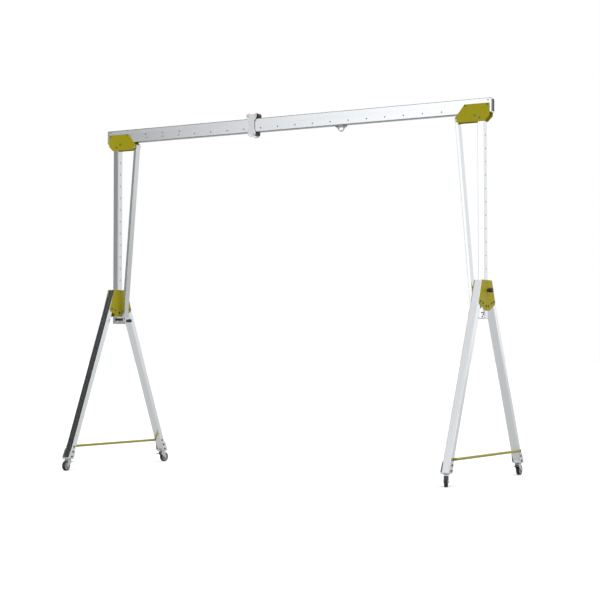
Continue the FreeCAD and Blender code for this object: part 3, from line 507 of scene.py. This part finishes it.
PAD_X, PAD_Z = -2.052, 1.5435
PAD_LONG, PAD_THICK, PAD_HIGH = 0.050, 0.0022, 0.0125      # half measures
pads = Builder()
low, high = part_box("foot_block_left")
for face in (low.y, high.y):
    centre = Matrix.Translation((PAD_X, face, PAD_Z))
    pads.block((-PAD_LONG, -PAD_THICK, -PAD_HIGH), (PAD_LONG, PAD_THICK, PAD_HIGH), centre)
pads.made("foot_block_pads", black_finish, "portal", "black_plastic")

EYE_BOLT_INSET = 0.014
EYE_BOLTS_Y = (-0.018, 0.018)
EYE_PLATE = 0.0099                       # from the top of the eye's plate to just inside its underside
EYE_BOLT_SIZE = 0.008
eye_bolts = Builder()
low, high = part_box("anchor_eye")
for x in (low.x + EYE_BOLT_INSET, high.x - EYE_BOLT_INSET):
    for y in EYE_BOLTS_Y:
        eye_bolts.bolt(facing((x, y, high.z - EYE_PLATE), (0, 0, -1)), EYE_BOLT_SIZE)
eye_bolts.made("anchor_eye_bolts", dark_steel, "portal", "eye_steel")


# ---- bolts on the leg frames -----------------------------------------------

LEG_BOLTS = ((0.154, 1.657), (0.100, 1.643), (0.026, 1.615))       # Y outward, and Z
FOOT_BOLTS = ((0.7975, 0.188), (0.8185, 0.140))
TIE_BOLT = (0.7755, 0.238)
TIE_BOLT_INSET = 0.0172                  # from the outer face of the tie bar
LEG_BOLT_SIZE = 0.010
CASTER_BOLTS_X = (-0.030, 0.030)         # from the swivel
CASTER_BOLTS_Y = (-0.033, 0.033)
CASTER_PLATE = 0.006                     # its thickness
CASTER_BOLT_SIZE = 0.006

for side_name, side in SIDES:
    bolts = Builder()
    for face_name in ("outer", "inner"):
        low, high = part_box("knee_plate_%s_%s" % (side_name, face_name))
        out = side if face_name == "outer" else -side
        face = high.x if out > 0 else low.x
        for y, z in LEG_BOLTS:
            for sign in (-1, 1):
                bolts.bolt(facing((face, sign * y, z), (out, 0, 0)), LEG_BOLT_SIZE)
    foot_low, foot_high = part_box("foot_brackets_" + side_name)
    for end_name, end in ENDS:
        for y, z in FOOT_BOLTS:
            for face, out in ((foot_low.x, -1), (foot_high.x, 1)):
                bolts.bolt(facing((face, end * y, z), (out, 0, 0)), LEG_BOLT_SIZE)
        leg_low, leg_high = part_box("leg_%s_%s" % (side_name, end_name))
        inner = leg_high.x if side < 0 else leg_low.x
        y, z = end * TIE_BOLT[0], TIE_BOLT[1]
        bolts.bolt(facing((inner, y, z), (-side, 0, 0)), LEG_BOLT_SIZE)
        bar_low, bar_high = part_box("tie_bar_" + side_name)
        outer = bar_low.x if side < 0 else bar_high.x
        bolts.bolt(facing((outer + TIE_BOLT_INSET * -side, y, z), (side, 0, 0)), LEG_BOLT_SIZE)
    bolts.made("leg_bolts_" + side_name, dark_steel, "leg_frame_" + side_name, "eye_steel")

    nuts = Builder()
    plate_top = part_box("caster_plates_" + side_name)[1].z
    for end_name, end in ENDS:
        swivel = Vector(joints["swivel_%s_%s" % (side_name, end_name)]["pos_m"])
        for dx in CASTER_BOLTS_X:
            for dy in CASTER_BOLTS_Y:
                at = (swivel.x + dx, swivel.y + dy, plate_top - CASTER_PLATE)
                nuts.bolt(facing(at, (0, 0, -1)), CASTER_BOLT_SIZE)
    nuts.made("caster_bolts_" + side_name, zinc_finish, "leg_frame_" + side_name, "zinc_steel")


# ---- casters ---------------------------------------------------------------

def axle_place(joint):
    """Local Z along the wheel's axle, local X level."""
    along = Vector(joint["axis"]).normalized()
    up = Vector((0, 0, 1))
    across = up.cross(along).normalized()
    turn = Matrix((across, up, along)).transposed().to_4x4()
    return Matrix.Translation(Vector(joint["pos_m"])) @ turn


# Outlines of turned pieces, as radius and height along the axle.
TYRE = (
    (0.0372, -0.0150), (0.0395, -0.0160), (0.0440, -0.0160), (0.0475, -0.0148), (0.0493, -0.0118),
    (0.0499, -0.0075), (0.0500, -0.0032), (0.0488, -0.0024), (0.0488, 0.0024), (0.0500, 0.0032),
    (0.0499, 0.0075), (0.0493, 0.0118), (0.0475, 0.0148), (0.0440, 0.0160), (0.0395, 0.0160), (0.0372, 0.0150),
)
HUB_RIM = (
    (0.0330, -0.0145), (0.0360, -0.0155), (0.0371, -0.0145), (0.0371, 0.0145), (0.0360, 0.0155),
    (0.0330, 0.0145), (0.0322, 0.0100), (0.0322, -0.0100),
)
HUB_WEB = ((0.0125, -0.0055), (0.0325, -0.0035), (0.0325, 0.0035), (0.0125, 0.0055))
HUB_BOSS = (
    (0.0055, -0.0170), (0.0115, -0.0170), (0.0130, -0.0160), (0.0138, -0.0060), (0.0138, 0.0060),
    (0.0130, 0.0160), (0.0115, 0.0170), (0.0055, 0.0170),
)
CAP = (
    (0.0052, 0.0150), (0.0098, 0.0150), (0.0105, 0.0162), (0.0104, 0.0176), (0.0090, 0.0184), (0.0052, 0.0184),
)
RACE = (
    (0.0225, -SUNK), (0.0290, -0.0006), (0.0320, -0.0022), (0.0325, -0.0040), (0.0300, -0.0062),
    (0.0270, -0.0072), (0.0225, -0.0078),
)
TREAD_BARS = 36
TREAD_SHOULDER = 0.0120                  # from the tyre's middle to the middle of a row of bars
TREAD_START, TREAD_END = 0.0484, 0.0494  # radius
TREAD_HALF = 0.0007
TREAD_REACH = 0.0030                     # half a bar, along the axle
TREAD_CHAMFER = 0.0003
RIBS = 10
RIB_START, RIB_END = 0.0130, 0.0328      # radius
RIB_HALF = 0.0011
RIB_NEAR, RIB_FAR = 0.0030, 0.0135       # from the wheel's middle
RIB_CHAMFER = 0.0004
KINGPIN_NUT_DROP = 0.0119                # below the top of the fork
KINGPIN_NUT_SIZE = 0.009

for side_name, side in SIDES:
    for end_name, end in ENDS:
        tag = "%s_%s" % (side_name, end_name)
        place = axle_place(joints["roll_" + tag])
        tread = Builder()
        tread.ring_turned(TYRE, place, 96)
        for shoulder in (-1, 1):
            bar_low = (TREAD_START, -TREAD_HALF, shoulder * TREAD_SHOULDER - TREAD_REACH)
            bar_high = (TREAD_END, TREAD_HALF, shoulder * TREAD_SHOULDER + TREAD_REACH)
            for i in range(TREAD_BARS):
                turn = Matrix.Rotation(2 * math.pi * i / TREAD_BARS, 4, "Z")
                tread.block(bar_low, bar_high, place @ turn, TREAD_CHAMFER)
        tyre = tread.made("tyre_shaped_" + tag, rubber_finish, "caster_wheel_" + tag, "tyre_rubber")
        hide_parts("tyre_" + tag)

        core = Builder()
        core.ring_turned(HUB_RIM, place, 96)
        core.ring_turned(HUB_WEB, place, 96)
        core.ring_turned(HUB_BOSS, place, 48)
        for hand in (-1, 1):
            z0, z1 = sorted((hand * RIB_NEAR, hand * RIB_FAR))
            for i in range(RIBS):
                turn = Matrix.Rotation(2 * math.pi * (i + 0.5) / RIBS, 4, "Z")
                core.block((RIB_START, -RIB_HALF, z0), (RIB_END, RIB_HALF, z1), place @ turn, RIB_CHAMFER)
        hub = core.made("hub_shaped_" + tag, hub_finish, "caster_wheel_" + tag, "hub_plastic")
        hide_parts("wheel_" + tag)

        caps = Builder()
        for hand in (-1, 1):
            flip = Matrix.Identity(4) if hand > 0 else Matrix.Rotation(math.pi, 4, "X")
            caps.ring_turned(CAP, place @ flip, 48)
        caps.made("bearing_caps_" + tag, zinc_finish, "caster_wheel_" + tag, "zinc_steel")

        swivel = Vector(joints["swivel_" + tag]["pos_m"])
        fork_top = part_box("fork_" + tag)[1].z
        race = Builder()
        race.ring_turned(RACE, Matrix.Translation((swivel.x, swivel.y, fork_top)), 64)
        nut = Matrix.Translation((swivel.x, swivel.y, fork_top - KINGPIN_NUT_DROP))
        race.bolt(nut @ Matrix.Rotation(math.pi, 4, "X"), KINGPIN_NUT_SIZE, washer=False)
        race.made("swivel_race_" + tag, zinc_finish, "caster_" + tag, "zinc_steel")


# ---- floor, light and camera -----------------------------------------------

FLOOR_REACH = 400.0
FLOOR_DROP = 0.0005                      # keeps the floor clear of the tyres
FLOOR_LIT, FLOOR_SEEN = 0.47, 0.95       # its tone in light and reflections, and to the camera
floor_mesh = bpy.data.meshes.new("studio_floor")
floor_corners = [(FLOOR_REACH * x, FLOOR_REACH * y, 0) for x, y in ((-1, -1), (1, -1), (1, 1), (-1, 1))]
floor_mesh.from_pydata(floor_corners, [], [(0, 1, 2, 3)])
floor = bpy.data.objects.new("studio_floor", floor_mesh)
scene.collection.objects.link(floor)
floor_paint, tree, floor_shader = new_material("pale_floor")
floor_seen = node(tree, "LightPath").outputs["Is Camera Ray"]
floor_tone = blend_colour(tree, floor_seen, rgba((FLOOR_LIT,) * 3), rgba((FLOOR_SEEN,) * 3))
tree.links.new(floor_tone, floor_shader.inputs["Base Color"])
floor_shader.inputs["Roughness"].default_value = 0.9
floor_shader.inputs["Specular IOR Level"].default_value = 0.1
floor_mesh.materials.append(floor_paint)
floor.location.z = -FLOOR_DROP

SKY_TOP = 1.4
# Degrees round from -Y toward -X, and the brightness there.
SKY = (
    (-180, 1.0), (-155, 1.0), (-143, 0.80), (-132, 0.92), (-40, 1.0), (0, 1.4), (24, 1.4), (31, 1.04),
    (37, 0.15), (43, 0.03), (120, 0.03), (148, 0.9), (180, 1.0),
)
OVERHEAD_SPAN = (0.66, 0.78)             # upward part of a direction, from the sides to overhead
OVERHEAD_TONE = 0.8
world = bpy.data.worlds.new("studio")
scene.world = world
world.use_nodes = True
tree = world.node_tree
tree.nodes.clear()
x, y, z = node(tree, "SeparateXYZ", {0: node(tree, "TexCoord").outputs["Generated"]}).outputs
round_angle = maths(tree, "ARCTAN2", maths(tree, "MULTIPLY", x, -1.0), maths(tree, "MULTIPLY", y, -1.0))
ramp = node(tree, "ValToRGB", {0: remap(tree, round_angle, -math.pi, math.pi, 0.0, 1.0)})
ramp.color_ramp.interpolation = "LINEAR"
stops = ramp.color_ramp.elements
while len(stops) < len(SKY):
    stops.new(0.5)
for stop, (degrees, level) in zip(stops, SKY):
    stop.position = (degrees + 180) / 360
for stop, (degrees, level) in zip(stops, SKY):
    stop.color = rgba((level / SKY_TOP,) * 3)
overhead = remap(tree, z, *OVERHEAD_SPAN, 0.0, 1.0)
shade = blend_colour(tree, overhead, ramp.outputs[0], rgba((OVERHEAD_TONE,) * 3))
lit = node(tree, "Background", {"Color": shade, "Strength": SKY_TOP}).outputs[0]
plain = node(tree, "Background", {"Color": (1, 1, 1, 1), "Strength": 1.0}).outputs[0]
seen = node(tree, "LightPath").outputs["Is Camera Ray"]
mixed = node(tree, "MixShader", {0: seen, 1: lit, 2: plain}).outputs[0]
tree.links.new(mixed, node(tree, "OutputWorld").inputs["Surface"])

sky_light = bpy.data.lights.new("soft_overhead", "SUN")
sky_light.energy = 1.25
sky_light.angle = math.radians(60)
lamp = bpy.data.objects.new("soft_overhead", sky_light)
lamp.rotation_euler = (math.radians(12), math.radians(10), 0)
scene.collection.objects.link(lamp)

# The lens and the camera's place were solved from the straight edges in the photograph.
lens = bpy.data.cameras.new("camera")
lens.sensor_width = 36
lens.lens = 94.99
lens.clip_end = 1500
camera = bpy.data.objects.new("camera", lens)
camera.location = (7.97666, -13.57692, 1.12057)
camera.rotation_euler = (math.radians(92.152), math.radians(0.03), math.radians(30.008))
scene.collection.objects.link(camera)
scene.camera = camera
scene.view_settings.view_transform = "Standard"
